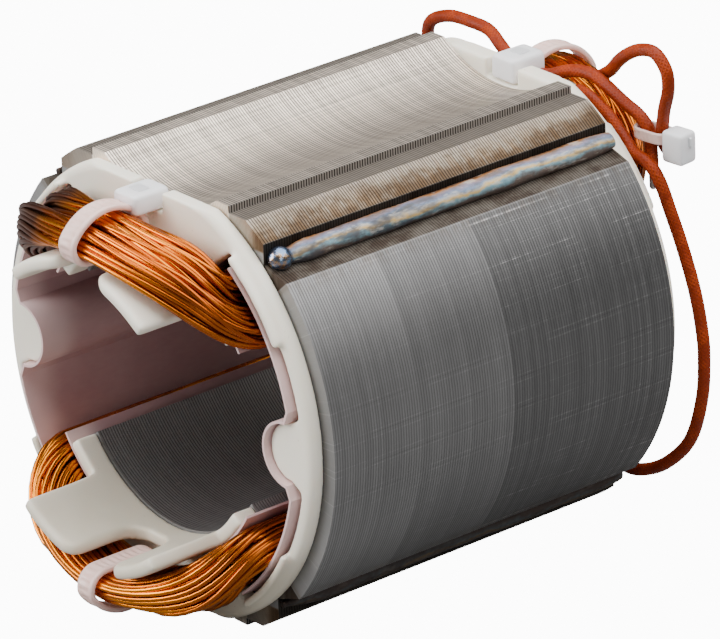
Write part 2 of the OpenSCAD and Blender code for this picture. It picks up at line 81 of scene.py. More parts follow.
class Flow:  # one output socket; arithmetic on it adds Math nodes
    def __init__(self, socket):
        self.socket = socket

    def math(self, operation, *others, swap=False):
        tree = self.socket.id_data
        node = tree.nodes.new("ShaderNodeMath")
        node.operation = operation
        values = [self, *others]
        if swap:
            values.reverse()
        for value, slot in zip(values, node.inputs):
            if isinstance(value, Flow):
                tree.links.new(value.socket, slot)
            else:
                slot.default_value = value
        return Flow(node.outputs[0])

    def __add__(self, other):
        return self.math("ADD", other)

    def __sub__(self, other):
        return self.math("SUBTRACT", other)

    def __rsub__(self, other):
        return self.math("SUBTRACT", other, swap=True)

    def __mul__(self, other):
        return self.math("MULTIPLY", other)

    def __truediv__(self, other):
        return self.math("DIVIDE", other)

    def __rtruediv__(self, other):
        return self.math("DIVIDE", other, swap=True)

    def __pow__(self, other):
        return self.math("POWER", other)

    __radd__ = __add__
    __rmul__ = __mul__


class Finish:  # a material under construction
    def __init__(self, name):
        self.material = bpy.data.materials.new(name)
        self.material.use_nodes = True
        self.tree = self.material.node_tree
        self.tree.nodes.clear()

    def add(self, kind, settings=None, inputs=None, out=0):
        node = self.tree.nodes.new("ShaderNode" + kind)
        for key, value in (settings or {}).items():
            if key == "stops":
                self.setStops(node.color_ramp, value)
            else:
                setattr(node, key, value)
        for key, value in (inputs or {}).items():
            if isinstance(value, Flow):
                self.tree.links.new(value.socket, node.inputs[key])
            else:
                node.inputs[key].default_value = value
        return Flow(node.outputs[out]) if len(node.outputs) else node

    def setStops(self, ramp, stops):
        while len(ramp.elements) < len(stops):
            ramp.elements.new(0.5)
        for element, (place, colour) in zip(ramp.elements, stops):
            element.position = place
            element.color = (*colour, 1)

    def split(self, vector):  # the three parts of a vector
        node = self.add("SeparateXYZ", inputs={0: vector}).socket.node
        return [Flow(output) for output in node.outputs]

    def place(self):  # object coordinates in millimetres, whole and as x, y and z
        spot = self.add("TexCoord", out="Object")
        spot = self.add("VectorMath", {"operation": "SCALE"}, {0: spot, "Scale": 1000})
        return spot, *self.split(spot)

    def joined(self, x, y, z):
        return self.add("CombineXYZ", inputs={0: x, 1: y, 2: z})

    def noise(self, spot, scale, detail=2, rough=0.5):  # at a place, or at three values
        spot = self.joined(*spot) if isinstance(spot, tuple) else spot
        return self.add("TexNoise", inputs={
            "Vector": spot, "Scale": scale, "Detail": detail, "Roughness": rough})

    def step(self, value, low, high):  # smooth 0 to 1 as value goes from low to high
        return self.add("MapRange", {"interpolation_type": "SMOOTHSTEP"},
                        {"Value": value, "From Min": low, "From Max": high})

    def blend(self, part, first, second, kind="MIX"):
        first = first if isinstance(first, Flow) else (*first, 1)
        second = second if isinstance(second, Flow) else (*second, 1)
        return self.add("Mix", {"data_type": "RGBA", "blend_type": kind},
                        {"Factor": part, 6: first, 7: second}, out=2)

    def tinted(self, value, colour):  # a colour made brighter or darker by a value
        grey = self.joined(value, value, value)
        return self.blend(1.0, colour, grey, "MULTIPLY")

    def done(self, inputs, height, distance, strength):
        inputs["Normal"] = self.add("Bump", inputs={
            "Height": height, "Distance": distance, "Strength": strength})
        shader = self.add("BsdfPrincipled", inputs=inputs)
        self.add("OutputMaterial", inputs={"Surface": shader})
        return self.material


steel = {
    "halfLength": 34, "sheetsPerMm": 2, "seam": (0.02, 0.3), "face": (33.9, 33.97),
    "bore": (23.4, 24.2), "hollowX": (16.2, 16.5), "hollowZ": (28, 29),
    "shoulderX": (16.3, 16.6), "shoulderZ": (29, 29.5),
    "stepX": 16.4, "stepWidth": (0.12, 0.2), "stepZ": (33.3, 33.4),
    "grooveX": (24.05, 24.18), "grooveAngle": (48.3, 48.7), "grooveRadius": (34, 35),
    "wallX": (24.3, 24.8), "sideAngle": (48.4, 49),
    "lipAngle": 48.8, "lipWidth": (0.05, 0.2), "lipRadius": (38, 38.5),
    "late": (1.2, 1.6), "early": (-17.2, -16.8), "high": (62, 82), "shadedHollowX": (-10, 6),
    "marked": (0, 5), "straw": (18.5, 23.0), "char": (20.2, 24.2), "below": (49.5, 53.5),
    "plainTint": (1.0, 0.985, 0.98), "landTint": (1.0, 0.87, 0.74),
    "strawDark": (0.72, 0.47, 0.25), "strawPale": (0.95, 0.8, 0.62),
    "charTint": (0.26, 0.15, 0.075), "belowTint": (0.5, 0.33, 0.18),
    "burntPale": (0.8, 0.68, 0.55), "burntDark": (0.3, 0.19, 0.12)}


def laminatedSteel():
    # sheets half a millimetre thick along Y, darker at their seams; each zone of the outline is a
    # product of steps in x, z, radius and quarter, the angle from the pole axis
    finish = Finish("laminatedSteel")
    spot, x, y, z = finish.place()
    count = (y + steel["halfLength"]) * steel["sheetsPerMm"]
    sheet, part = count.math("FLOOR"), count.math("FRACT")
    seam = 1 - finish.step(0.5 - (part - 0.5).math("ABSOLUTE"), *steel["seam"])
    tone = finish.add("TexWhiteNoise", {"noise_dimensions": "1D"}, {"W": sheet + 0.5})
    flankX, flankZ = x.math("ABSOLUTE"), z.math("ABSOLUTE")
    quarter = flankX.math("ARCTAN2", flankZ) * (180 / math.pi)
    radius = (x * x + z * z) ** 0.5
    face = finish.step(y.math("ABSOLUTE"), *steel["face"])
    bore = (1 - finish.step(radius, *steel["bore"])) * (1 - face)
    hollow = (1 - finish.step(flankX, *steel["hollowX"])) * finish.step(flankZ, *steel["hollowZ"])
    outer = finish.step(flankX, *steel["grooveX"])
    shoulder = finish.step(flankX, *steel["shoulderX"]) * (1 - outer)
    shoulder = shoulder * finish.step(flankZ, *steel["shoulderZ"])
    stepWall = 1 - finish.step((flankX - steel["stepX"]).math("ABSOLUTE"), *steel["stepWidth"])
    stepWall = stepWall * finish.step(flankZ, *steel["stepZ"])
    side = finish.step(quarter, *steel["sideAngle"]) * (1 - bore)
    groove = outer * (1 - finish.step(quarter, *steel["grooveAngle"]))
    groove = groove * finish.step(radius, *steel["grooveRadius"])
    sootAndShadeWall = groove * (1 - finish.step(flankX, *steel["wallX"]))
    lip = 1 - finish.step((quarter - steel["lipAngle"]).math("ABSOLUTE"), *steel["lipWidth"])
    lip = lip * (1 - face) * finish.step(radius, *steel["lipRadius"])
    # wander differs from sheet to sheet; axial, lines and broken run along the stack
    wander = finish.noise((quarter * 0.22, sheet * 7.3, 0.0), 1.0, 3, 0.6)
    axial = finish.noise((quarter * 1.6, y * 0.02, z * 0.1), 1.0, 4, 0.7)
    lines = finish.noise((quarter * 1.15 + y * 0.003, 0.0, 0.0), 1.0, 3, 0.7)
    broken = finish.noise((quarter * 0.2, y * 0.07, 3.0), 1.0, 3, 0.6)
    cloud = finish.noise(spot, 0.05, 3, 0.6)
    dots = finish.step(finish.noise((quarter * 2.6, sheet * 3.1, 0.0), 1.0), 0.58, 0.7)
    # the round side has three lengths of sheets, with bright scratches and dark scores
    late = finish.step(y, *steel["late"]) * side
    early = (1 - finish.step(y, *steel["early"])) * side
    high = 1 - finish.step(quarter, *steel["high"])
    scratch = finish.step(lines, 0.54, 0.62) * finish.step(broken, 0.4, 0.56) * (0.2 + tone * 0.8)
    scratch = scratch * (0.22 + late * (0.1 + high * 0.75)) * side
    scored = (1 - finish.step(lines, 0.34, 0.4)) * finish.step(broken, 0.45, 0.55) * side
    # level is the brightness of the steel, zone by zone
    level = 0.2 + tone * 0.035 + wander * 0.035 + cloud * 0.05 - side * 0.04
    level = level + early * high * 0.05 - late * 0.065 + scratch * 0.32 - scored * 0.07
    level = level + hollow * (axial * 1.05 + tone * 0.25 - 0.14)
    level = level + shoulder * (axial * 0.16 - 0.02) + face * 0.02
    # painted shade: the right part of the hollow is made darker where the light falls off
    level = level * (1 - hollow * finish.step(x, *steel["shadedHollowX"]) * 0.3)
    level = level + bore * (0.1 + dots * seam * 0.5)
    # the groove is darker; its wall is darker still, partly soot and partly painted shade
    level = level * (1 - groove * 0.5) * (1 - sootAndShadeWall * 0.65) + lip * 0.05
    depth = 0.42 + hollow * 0.46 + shoulder * 0.4 + groove * 0.3 + bore * 0.3
    level = level * (1 - seam * (1 - face) * depth)
    level = level * (1 - stepWall) + stepWall * ((1 - seam) ** 3 * 0.4 + 0.03)
    # heat from the welds: straw and char on the shoulder, brown below the lip, burnt in the groove
    warm = finish.blend(hollow + shoulder, steel["plainTint"], steel["landTint"])
    colour = finish.tinted(level, warm)
    patch = finish.noise((sheet * 0.5, y * 0.12, quarter * 0.12), 1.0, 3, 0.7)
    marked = 0.3 + finish.step(x, *steel["marked"]) * 0.7
    near = finish.step(flankX + (patch - 0.5) * 9, *steel["straw"]) * shoulder * marked
    patchy = finish.step(patch, 0.4, 0.6)
    straw = finish.blend(patchy, steel["strawDark"], steel["strawPale"])
    colour = finish.blend(near * 0.9, colour, finish.tinted(level * 1.1, straw))
    soot = finish.noise((sheet * 0.05, y * 0.11, x * 0.3), 1.0, 4, 0.7)
    char = finish.step(flankX + (soot - 0.5) * 10, *steel["char"]) * shoulder * marked
    colour = finish.blend(char * 0.92, colour, finish.tinted(level, steel["charTint"]))
    below = (1 - finish.step(quarter + (patch - 0.5) * 8, *steel["below"])) * side * patchy
    colour = finish.blend(below * 0.35, colour, finish.tinted(level, steel["belowTint"]))
    burnt = finish.blend(finish.step(soot, 0.4, 0.64), steel["burntPale"], steel["burntDark"])
    colour = finish.blend(groove * 0.9, colour, finish.tinted(level * 1.3, burnt))
    rough = 0.34 + wander * 0.14 + seam * 0.12 - scratch * 0.1 + groove * 0.15
    height = (1 - seam * (1 - face)) + tone * 0.35 + wander * 0.15
    return finish.done({"Base Color": colour, "Metallic": 0.85, "Roughness": rough},
                       height, 0.00008, 0.5)


heat = {
    "axisX": 25.2, "axisZ": 28.1, "firstAngle": 2.3, "angles": 2.9, "sooty": (-8, 6),
    "ball": (-30.6, -29.8), "seen": (20, 21), "sootTint": (0.07, 0.075, 0.09),
    "darkTint": (0.1, 0.09, 0.085), "silverTint": (0.6, 0.56, 0.5), "blueTint": (0.12, 0.2, 0.34),
    "goldTint": (0.55, 0.3, 0.11), "oldTint": (0.055, 0.04, 0.034),
    "stops": [
        (0.08, (0.12, 0.045, 0.015)), (0.17, (0.36, 0.15, 0.04)), (0.26, (0.27, 0.19, 0.17)),
        (0.36, (0.23, 0.2, 0.27)), (0.47, (0.17, 0.23, 0.33)), (0.57, (0.4, 0.37, 0.32)),
        (0.67, (0.58, 0.38, 0.12)), (0.78, (0.2, 0.36, 0.42)), (0.94, (0.16, 0.12, 0.1))]}


def weldSteel():
    # heat colours run across the bead by the angle about its axis, from straw over violet, blue and
    # gold to dark; the ball is bright, and the three beads away from it are old and dark
    finish = Finish("weldSteel")
    spot, x, y, z = finish.place()
    up = z.math("ABSOLUTE") - heat["axisZ"]
    out = x.math("ABSOLUTE") - heat["axisX"]
    across = (heat["firstAngle"] - up.math("ARCTAN2", out)) / heat["angles"]
    drift = finish.noise((y * 0.11, up * 0.25, out * 0.25), 1.0, 3, 0.6)
    fine = finish.noise(spot, 1.1, 3, 0.6)
    colour = finish.add("ValToRGB", {"stops": heat["stops"]},
                        {0: across + (drift - 0.5) * 0.9 + (fine - 0.5) * 0.16})
    blotch = finish.step(finish.noise((y * 0.2, up * 0.5, out * 0.5), 1.0, 3, 0.6), 0.42, 0.6)
    blotch = blotch * finish.step(across, 0.2, 0.45) * (1 - finish.step(y, *heat["sooty"]))
    colour = finish.blend(blotch * 0.8, colour, heat["sootTint"])
    streak = finish.noise((y * 0.28, up * 0.8, out * 0.8 + 7), 1.0, 4, 0.65)
    colour = finish.blend((1 - finish.step(streak, 0.36, 0.52)) * 0.6, colour, heat["darkTint"])
    colour = finish.blend(finish.step(streak, 0.54, 0.68) * 0.5, colour, heat["silverTint"])
    ball = 1 - finish.step(y, *heat["ball"])
    patchy = finish.step(drift * 0.5 + fine * 0.5, 0.5, 0.62)
    chrome = finish.blend(patchy, heat["blueTint"], heat["goldTint"])
    bright = finish.step(x, *heat["seen"]) * finish.step(z, *heat["seen"])
    colour = finish.blend(ball * bright * 0.8, colour, chrome)
    colour = finish.blend((1 - bright) * 0.85, colour, heat["oldTint"])
    rough = 0.52 + fine * 0.16 - ball * bright * 0.36 + blotch * 0.1
    return finish.done({"Base Color": colour, "Metallic": 0.55 + ball * 0.4, "Roughness": rough},
                       fine, 0.0002, 0.4)


ivory = {"deep": (0.86, 0.8, 0.66), "pale": (0.95, 0.9, 0.79), "speck": (0.3, 0.26, 0.2),
         "grimeAndShade": (0.56, 0.5, 0.38), "grimeAndShadeZ": (-21, -14)}


def ivoryPlastic():
    # a cloud of two ivories with a few specks, and grime with painted shade that grows towards the
    # bottom
    finish = Finish("ivoryPlastic")
    spot, x, y, z = finish.place()
    grain = finish.noise(spot, 5.0, 3, 0.6)
    cloud = finish.noise(spot, 0.1, 3, 0.55)
    speck = finish.step(finish.noise(spot, 1.7, 1), 0.78, 0.82)
    colour = finish.blend(cloud, ivory["deep"], ivory["pale"])
    colour = finish.blend(speck * 0.5, colour, ivory["speck"])
    # darker towards the bottom: partly grime, partly painted shade on the lower tongue
    grimeAndShade = (1 - finish.step(z, *ivory["grimeAndShadeZ"])) * (0.4 + cloud * 0.8)
    colour = finish.blend(grimeAndShade * 0.75, colour, ivory["grimeAndShade"])
    return finish.done({
        "Base Color": colour, "Roughness": 0.38 + grain * 0.16, "Subsurface Weight": 0.25,
        "Subsurface Radius": (1.0, 0.7, 0.5), "Subsurface Scale": 0.0012}, grain, 0.00003, 0.25)


paper = {"deep": (0.4, 0.21, 0.22), "pale": (0.58, 0.38, 0.38), "end": (0.8, 0.6, 0.58),
         "endY": (30, 36)}


def linerPaper():
    # fibres drawn out along the slot over a cloud of two mauves, paler at the ends
    finish = Finish("linerPaper")
    spot, x, y, z = finish.place()
    fibre = finish.noise((x * 0.5, y * 0.12, z * 0.5), 4.0, 4, 0.65)
    cloud = finish.noise(spot, 0.09)
    colour = finish.blend(cloud * 0.6 + fibre * 0.4, paper["deep"], paper["pale"])
    ends = finish.step(y.math("ABSOLUTE") + (cloud - 0.5) * 8, *paper["endY"])
    colour = finish.blend(ends * 0.7, colour, paper["end"])
    return finish.done({
        "Base Color": colour, "Roughness": 0.6, "Subsurface Weight": 0.1,
        "Subsurface Radius": (1.0, 0.5, 0.4), "Subsurface Scale": 0.0008}, fibre, 0.00005, 0.3)


copper = {"dark": (0.44, 0.088, 0.004), "light": (0.86, 0.28, 0.012), "deep": (0.32, 0.065, 0.01),
          "dull": (0.09, 0.04, 0.03), "dullX": (7, 14), "dullZ": (0, 5), "shadedRightX": (12, 22)}


def enamelledCopper():
    # each wire has its own tone; the right end is darker, a painted shade, and the upper left is
    # dull and brown
    finish = Finish("enamelledCopper")
    spot, x, y, z = finish.place()
    tone = finish.add("Attribute", {"attribute_name": "tone"}, out="Fac")
    cloud = finish.noise(spot, 0.25, 3, 0.6)
    colour = finish.blend(tone, copper["dark"], copper["light"])
    dull = finish.step(x * -1 + (cloud - 0.5) * 8, *copper["dullX"])
    dull = dull * finish.step(z, *copper["dullZ"])
    # painted shade: the wires darken towards their right end, next to the slots
    deep = finish.step(x + (cloud - 0.5) * 6, *copper["shadedRightX"])
    colour = finish.blend(deep * 0.7, colour, copper["deep"])
    colour = finish.blend(dull * 0.9, colour, copper["dull"])
    rough = 0.23 + cloud * 0.08 + dull * 0.12
    return finish.done({"Base Color": colour, "Metallic": 1.0, "Roughness": rough},
                       cloud, 0.00005, 0.15)


nylon = {"deep": (0.92, 0.54, 0.47), "pale": (0.98, 0.72, 0.66), "head": (0.95, 0.94, 0.97)}


def nylonTie():
    # pinkish where the strap lies over copper, white at the head, told apart by the tone
    finish = Finish("nylonTie")
    spot = finish.place()[0]
    cloud = finish.noise(spot, 0.5, 3, 0.6)
    head = finish.add("Attribute", {"attribute_name": "tone"}, out="Fac")
    colour = finish.blend(cloud, nylon["deep"], nylon["pale"])
    colour = finish.blend(head, colour, nylon["head"])
    return finish.done({
        "Base Color": colour, "Roughness": 0.28 + cloud * 0.12, "Transmission Weight": 0.1,
        "IOR": 1.5, "Subsurface Weight": 0.4, "Subsurface Radius": (1.0, 0.85, 0.85),
        "Subsurface Scale": 0.002}, cloud, 0.00005, 0.2)


sleeve = {"strands": 9, "perMm": 9, "deep": (0.15, 0.011, 0.0), "pale": (0.36, 0.04, 0.001)}


def leadSleeve():
    # two sets of helical strands cross under varnish; u runs along the lead, in millimetres,
    # and v once round it
    finish = Finish("leadSleeve")
    spot = finish.place()[0]
    along, around = finish.split(finish.add("UVMap", {"uv_map": "braid"}))[:2]
    strands = around * (sleeve["strands"] * 2 * math.pi)
    right = (along * sleeve["perMm"] + strands).math("SINE")
    left = (along * sleeve["perMm"] - strands).math("SINE")
    weave = right.math("MAXIMUM", left) * 0.5 + 0.5
    cloud = finish.noise(spot, 0.3, 3, 0.6)
    worn = finish.step(cloud, 0.45, 0.6)
    colour = finish.blend(weave * (0.2 + worn * 0.4) + cloud * 0.4, sleeve["deep"], sleeve["pale"])
    return finish.done({
        "Base Color": colour, "Roughness": 0.4 + worn * 0.2, "Specular IOR Level": 0.22},
        weave * (0.5 + worn * 0.5), 0.00012, 0.6)


tin = {"deep": (0.5, 0.5, 0.51), "pale": (0.76, 0.76, 0.77)}


def tinnedWire():
    # a cloud of two greys, which also varies the gloss
    finish = Finish("tinnedWire")
    cloud = finish.noise(finish.place()[0], 1.2, 3, 0.6)
    colour = finish.blend(cloud, tin["deep"], tin["pale"])
    return finish.done({"Base Color": colour, "Metallic": 0.9, "Roughness": 0.24 + cloud * 0.2},
                       cloud, 0.00006, 0.3)


finishes = {"laminated_steel": laminatedSteel(), "weld_steel": weldSteel(),
            "ivory_plastic": ivoryPlastic(), "liner_paper": linerPaper(),
            "enamelled_copper": enamelledCopper(), "nylon_tie": nylonTie(),
            "lead_sleeve": leadSleeve(), "tinned_wire": tinnedWire()}
for row in frame["record"]["subparts"]:
    mesh = frame["nodes"][row["node"]].data
    mesh.materials.clear()
    mesh.materials.append(finishes[row["material_slot"]])
print("finishes made:", len(finishes))


def unit(vectors):
    # each vector divided by its length
    return vectors / np.linalg.norm(vectors, axis=-1, keepdims=True)


def circle(steps):
    # even angles of one full turn
    return np.linspace(0, 2 * np.pi, steps, endpoint=False)


def waysOut(turn):
    # cosine and sine of each angle
    return np.stack([np.cos(turn), np.sin(turn)], -1)


def lengthsAlong(path):
    # running sum of the distances between neighbouring points
    return np.concatenate([[0], np.cumsum(np.linalg.norm(np.diff(path, axis=0), axis=1))])


def evenLoop(spot, steps):
    # a flat closed loop walked in even steps: its points, how far along each lies, its length
    spot = np.vstack([spot, spot[:1]])
    travelled = lengthsAlong(spot)
    even = np.linspace(0, travelled[-1], steps, endpoint=False)
    points = np.stack([np.interp(even, travelled, spot[:, i]) for i in range(2)], -1)
    return points, even, travelled[-1]


def evened(points, span):
    # each point of a loop becomes the mean of its neighbours up to span places away
    shifts = range(-span, span + 1)
    return sum(np.roll(points, shift, axis=0) for shift in shifts) / len(shifts)


def ringFaces(rows, columns, closed=False):
    # quads between neighbouring rings; an open run gets a fan to a middle point at each end
    r, c = np.meshgrid(np.arange(rows if closed else rows - 1), np.arange(columns), indexing="ij")
    corners = [(r, c), (r, c + 1), (r + 1, c + 1), (r + 1, c)]
    quads = np.stack([(i % rows) * columns + j % columns for i, j in corners], -1).reshape(-1, 4)
    places = np.stack([np.stack(pair, -1) for pair in corners], -2).reshape(-1, 2)
    j = np.arange(columns)
    ahead = (j + 1) % columns
    last, middle = (rows - 1) * columns, rows * columns
    fans = np.concatenate([np.stack([ahead, j, np.full(columns, middle)], -1),
                           np.stack([last + j, last + ahead, np.full(columns, middle + 1)], -1)])
    return quads, places, fans[:0] if closed else fans


def pointOutwards(points, quads, fans):
    # a closed surface has a positive volume if its faces point out, so a negative one is turned
    triangles = np.concatenate([quads[:, :3], quads[:, [0, 2, 3]], fans])
    a, b, c = (points[triangles[:, i]] for i in range(3))
    inside = np.einsum("ij,ij->", a, np.cross(b, c)) < 0
    return (quads[:, ::-1], fans[:, ::-1], True) if inside else (quads, fans, False)


def placePiece(piece, slot, nodes):
    # a finished piece rides on the one body, with its slot and the solids it stands for
    piece.data.materials.clear()
    piece.data.materials.append(finishes[slot])
    if piece.name not in bpy.context.collection.objects:
        bpy.context.collection.objects.link(piece)
    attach(piece, "root")
    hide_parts(*nodes)
    return piece


def addPiece(name, points, faces, slot, nodes, uv=None, tone=None):
    # points in millimetres and groups of faces as one smooth mesh; uv and tone feed the finish
    mesh = bpy.data.meshes.new(name)
    rows = [face.tolist() for group in faces for face in group]
    mesh.from_pydata((points * mm).tolist(), [], rows)
    mesh.polygons.foreach_set("use_smooth", np.ones(len(mesh.polygons), bool))
    if uv is not None:
        full = np.zeros((len(mesh.loops), 2))
        full[:len(uv)] = uv
        mesh.uv_layers.new(name="braid").data.foreach_set("uv", full.ravel())
    if tone is not None:
        mesh.attributes.new("tone", "FLOAT", "POINT").data.foreach_set("value", tone)
    return placePiece(bpy.data.objects.new(name, mesh), slot, nodes)


def closedRings(rings):
    # rings as one list of points, with the middle of each end ring added to close it
    return np.vstack([rings.reshape(-1, 3), rings[0].mean(0), rings[-1].mean(0)])


def addRings(name, runs, slot, nodes, loop=None):
    # one piece of several runs of rings closed at their ends; an endless loop may come first,
    # and then the tone is 0 on the loop and 1 on the runs
    points, quads, fans, start = [], [], [], 0
    for rings in runs if loop is None else [loop, *runs]:
        endless = rings is loop
        spots = rings.reshape(-1, 3) if endless else closedRings(rings)
        four, places, three = ringFaces(*rings.shape[:2], closed=endless)
        four, three, turned = pointOutwards(spots, four, three)
        points.append(spots)
        quads.append(four + start)
        fans.append(three + start)
        start += len(spots)
    tone = None if loop is None else np.repeat([0.0, 1.0], [len(points[0]), start - len(points[0])])
    faces = [np.vstack(quads), np.vstack(fans)]
    return addPiece(name, np.vstack(points), faces, slot, nodes, tone=tone)


def smoothPath(points, parts):
    # Catmull-Rom curve: each span is a cubic whose end slopes follow the neighbouring points
    p = np.vstack([2 * points[0] - points[1], points, 2 * points[-1] - points[-2]])
    t = np.linspace(0, 1, parts, endpoint=False)[None, :, None]
    a, b, c, d = (p[i:len(p) - 3 + i][:, None] for i in range(4))
    bend = (2 * a - 5 * b + 4 * c - d) * t ** 2 + (3 * b - a - 3 * c + d) * t ** 3
    curve = 0.5 * (2 * b + (c - a) * t + bend)
    return np.vstack([curve.reshape(-1, 3), points[-1:]])


def pathSides(path, reference):
    # at each point the reference made square to the way ahead, and the cross product of the two
    ahead = unit(np.gradient(path, axis=0))
    side = unit(reference - ahead * (ahead @ reference)[:, None])
    return side, np.cross(ahead, side)


tinned = {"radius": 0.6, "length": 3.0, "sunk": 0.4, "strands": 7, "twist": 1.6, "depth": 0.13,
          "tipRoom": 0.1, "tipLength": 0.5, "across": (0.3, 0.9, 0.2), "rows": 16, "columns": 42}


def addTinnedEnd(name, start, way):
    # twisted strands: the radius dips between strands, which turn steadily along the end,
    # and closes at the tip
    s = np.linspace(-tinned["sunk"], tinned["length"], tinned["rows"])[:, None]
    turn = circle(tinned["columns"])[None]
    wave = np.abs(np.cos((turn + tinned["twist"] * s) * tinned["strands"] / 2))
    radius = tinned["radius"] * (1 - tinned["depth"] * (1 - wave))
    left = tinned["length"] + tinned["tipRoom"] - s
    radius = radius * np.sqrt(np.clip(left / tinned["tipLength"], 0, 1))
    side = unit(np.cross(way, tinned["across"]))
    other = np.cross(way, side)
    rings = (start + s[..., None] * way + (radius * np.cos(turn))[..., None] * side
             + (radius * np.sin(turn))[..., None] * other)
    return addRings(name + "Strands", [rings], "tinned_wire", [name])


lead = {"rear": 42, "diameter": 2.05, "sides": 20, "parts": 8}
routes = {  # y is measured from the rear
    "upper_left_lead": [
        (-25.4, 1.6, 21.6), (-27.2, 1.4, 24.8), (-27.8, 0.8, 28.4), (-25.7, 0, 31.7),
        (-21.3, 0, 33.6), (-16.5, 0, 34), (-12, 0, 33.8), (-8, -1, 32.6), (-4, -2, 31.3),
        (0, -2.3, 30.9), (4, -2, 31.2), (8.2, -0.7, 32.7), (11.8, 0, 33), (15.3, 0, 32.2),
        (19.8, 0, 30.4), (22.8, 0, 29.4), (24.5, 0.2, 27.9), (25.15, 0.3, 26.1), (25.6, 0.1, 23.8),
        (26.6, -0.7, 21.4)],
    "upper_right_lead": [
        (11.2, 2.8, 31.7), (14.2, 2.2, 33.7), (17.4, 1, 36.4), (20.4, 0.4, 38.6), (23.8, 0, 40.3),
        (27, 0, 40.6), (29.2, 0.2, 38.3), (29.5, 0.3, 35.2), (28.3, 0.5, 31.6), (27.6, 0.7, 28.6),
        (27.3, 0.9, 26.3), (27.1, 2, 24.3), (27, 4, 23)],
    "lower_right_lead": [
        (12.6, 0.6, -30.7), (16.8, 0.4, -31.8), (21.4, 0, -31.2), (27.4, 0, -28.2),
        (33.3, 0, -22.3), (36.2, 0, -14.5), (36.9, 0, -7.6), (36.5, 0, -2.6), (35, 0, 3.6),
        (32.9, -0.5, 10.5), (31.2, -1.4, 16.4), (30.2, -2, 20), (28.8, -2.4, 22.5),
        (26.6, -2.4, 23.6), (24.3, -2.4, 24.1), (21.6, -2.4, 26.5), (18.1, -2.4, 29),
        (14.6, -2.4, 30.5), (11.4, -2.3, 30.9)],
    "lower_left_lead": [
        (-12.6, 0.6, -30.7), (-17, 0.5, -31.6), (-22.6, 0.6, -29.2), (-27.4, 1, -24.6),
        (-30, 1.6, -18.4), (-31.2, 2.4, -11.6), (-31.8, 3, -4.6), (-31.8, 3.4, 2.4),
        (-31, 3.4, 8.4)]}


def addLead(name):
    # a circle carried along the smooth route, its start turned from the rotor axis
    route = np.array(routes[name]) + (0, lead["rear"], 0)
    path = smoothPath(route, lead["parts"])
    side, other = pathSides(path, np.array([0.0, 1, 0]))
    turn = circle(lead["sides"])[None, :, None]
    out = np.cos(turn) * side[:, None] + np.sin(turn) * other[:, None]
    points = closedRings(path[:, None] + lead["diameter"] / 2 * out)
    quads, places, fans = ringFaces(len(path), lead["sides"])
    travelled = lengthsAlong(path)
    uv = np.stack([travelled[places[:, 0]], places[:, 1] / lead["sides"]], -1)
    quads, fans, turned = pointOutwards(points, quads, fans)
    if turned:
        uv = uv.reshape(-1, 4, 2)[:, ::-1].reshape(-1, 2)
    piece = addPiece(name + "Sleeve", points, [quads, fans], "lead_sleeve", [name], uv)
    way = unit(route[-1] - route[-2])
    bare = addTinnedEnd(name.replace("_lead", "_tinned_end"), route[-1], way)
    print(name, round(travelled[-1], 1), "mm")


for name in routes:
    addLead(name)
print("leads laid")

coil = {
    "inner": 26.1, "outer": 33.0, "neck": 12.6, "start": 35, "halfAngle": 60, "nearEnd": 38.8,
    "farEnd": 51.2, "nearBend": 1.6, "farBend": 17.0, "domePlace": 45.0, "domeRadius": 7.254,
    "domeCentre": 24.896, "swell": 1.8, "edge": 3.0, "corners": 960, "samples": 720, "rounding": 6,
    "slopeSpan": 4, "wire": 0.84, "pitch": 0.87, "layers": (0.42, 1.2, 2.0), "sides": 8,
    "straightSteps": 4, "bendSteps": 18, "together": (1.8, 0.5, 0.35), "stray": (0.16, 0.12, 0.1),
    "crossing": 6, "crossingPlaces": (0.12, 0.4), "proud": 0.06, "sweep": 1.9, "dent": 0.9,
    "valley": 0.25, "valleySway": 0.07, "valleyPhase": 1.2, "tone": 0.5, "toneSpread": 0.35}


def mix(low, high, part):
    # straight line from low to high
    return low + (high - low) * part


def domeHeight(reach):
    # the top of the section over the pole is an arc of a circle
    return coil["domeCentre"] + np.sqrt(coil["domeRadius"] ** 2 - (reach - coil["domePlace"]) ** 2)


def coilPoint(across, depth, share, stage, front):
    # quarter of a saddle turn: straight in the slot, then a quarter ellipse over the pole, drawn in
    # under a dome; the front end swells between the tie and the slots
    inner, half = coil["inner"], (coil["outer"] - coil["inner"]) / 2
    middle = inner + half
    nearAngle = mix(math.asin(coil["neck"] / inner), math.radians(coil["start"]), (1 + depth) / 2)
    halfTurn = middle * mix(nearAngle, math.radians(coil["halfAngle"]), across)
    reach = mix(coil["nearEnd"], coil["farEnd"], across)
    bend = mix(coil["nearBend"], coil["farBend"], across)
    turn = share * np.pi / 2
    sideways = np.where(stage == 0, halfTurn, halfTurn * np.cos(turn))
    along = np.where(stage == 0, (reach - bend) * share, reach - bend * (1 - np.sin(turn)))
    drawnIn = 1 - (sideways / halfTurn) ** 2
    dome = domeHeight(reach)
    swollen = (4 * drawnIn * (1 - drawnIn)) ** 2 * coil["swell"] / (2 * half) * front
    radius = inner + (1 + depth) * half * (mix(1, (dome - inner) / (2 * half), drawnIn) + swollen)
    angle = sideways / middle
    return radius * np.sin(angle), along, radius * np.cos(angle)


def coilSteps():
    # shares and stages of one quarter, then the four quarters round the pole with their signs
    counts = (coil["straightSteps"], coil["bendSteps"])
    share = np.concatenate([np.arange(n) / n for n in counts] + [[1.0]])
    stage = np.concatenate([np.full(n, i) for i, n in enumerate(counts)] + [[1]])
    quarter = np.arange(len(share))
    order = np.concatenate([quarter, quarter[-2::-1], quarter[1:], quarter[-2:0:-1]])
    n = len(quarter)
    signX = np.concatenate([np.ones(n), -np.ones(2 * n - 2), np.ones(n - 2)])
    signY = np.concatenate([np.ones(2 * n - 1), -np.ones(2 * n - 3)])
    return share[order], stage[order], signX, signY


